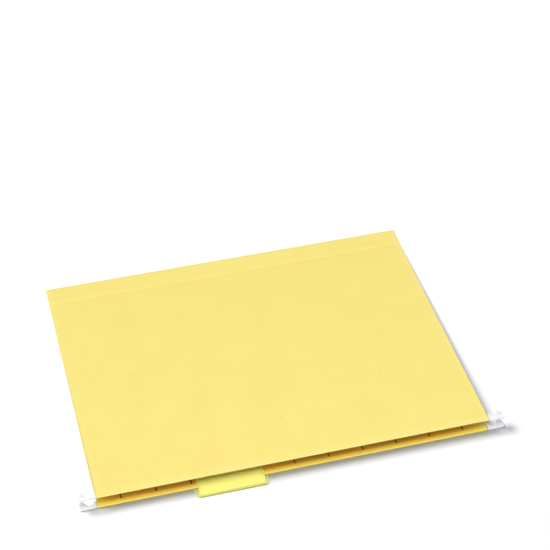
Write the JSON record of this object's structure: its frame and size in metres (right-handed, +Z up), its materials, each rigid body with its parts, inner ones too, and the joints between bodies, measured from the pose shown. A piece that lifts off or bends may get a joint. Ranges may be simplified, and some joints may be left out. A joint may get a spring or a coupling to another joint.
{
  "type": "hanging file folder",
  "caption": "Hanging file folder of folded yellow stock, with steel rods in the folded edges, plastic rail hooks, a scored bottom and a clip-on vinyl tab.",
  "frame": {"origin": "middle of the back panel's underside, on the surface the folder lies on", "axes": "+X along the rods, +Y from the open edge to the folded bottom, +Z up from the back panel"},
  "size_m": [0.3246, 0.2438, 0.0124],
  "materials": {
    "yellow_stock": "uncoated, slightly fibrous",
    "rod_steel": "plain rolled strip",
    "hook_plastic": "satin moulded",
    "glue": "dried adhesive",
    "tab_vinyl": "clear tinted vinyl",
    "label_card": "plain lemon card"
  },
  "bodies": {
    "back": {"back_panel": "yellow_stock", "back_rod": "rod_steel", "back_glue_line": "glue", "back_hook_left": "hook_plastic", "back_hook_right": "hook_plastic"},
    "back_strip": {"gusset_back": "yellow_stock"},
    "front_strip": {"gusset_front": "yellow_stock"},
    "outer_strip": {"gusset_front_outer": "yellow_stock"},
    "front": {"front_panel": "yellow_stock", "front_rod": "rod_steel", "front_glue_line": "glue", "front_hook_left": "hook_plastic", "front_hook_right": "hook_plastic"},
    "tab": {"tab": "tab_vinyl"},
    "insert": {"tab_insert": "label_card"}
  },
  "joints": [
    {"name": "bottom_expand", "type": "slide", "parent": "back", "child": "outer_strip", "axis": [0, 0, 1], "range_m": [0, 0.0142]},
    {"name": "back_score", "type": "hinge", "parent": "back", "child": "back_strip", "pos_m": [0, 0.10798, 0.00028], "axis": [1, 0, 0], "range_deg": [0, 45.2]},
    {"name": "front_score", "type": "hinge", "parent": "outer_strip", "child": "front_strip", "pos_m": [0, 0.10798, 0.00058], "axis": [1, 0, 0], "range_deg": [-45.2, 0]},
    {"name": "front_open", "type": "hinge", "parent": "outer_strip", "child": "front", "pos_m": [0, 0.09847, 0.00086], "axis": [-1, 0, 0], "range_deg": [0, 176.5]},
    {"name": "tab_unclip", "type": "slide", "parent": "back", "child": "tab", "axis": [0, 0, 1], "range_m": [0, 0.006]},
    {"name": "insert_slide", "type": "slide", "parent": "tab", "child": "insert", "axis": [1, 0, 0], "range_m": [0, 0.052]}
  ],
  "couplings": [
    {"joint": "back_score", "follows": "bottom_expand", "rad_per_m": 55.402},
    {"joint": "front_score", "follows": "bottom_expand", "rad_per_m": -55.402}
  ]
}
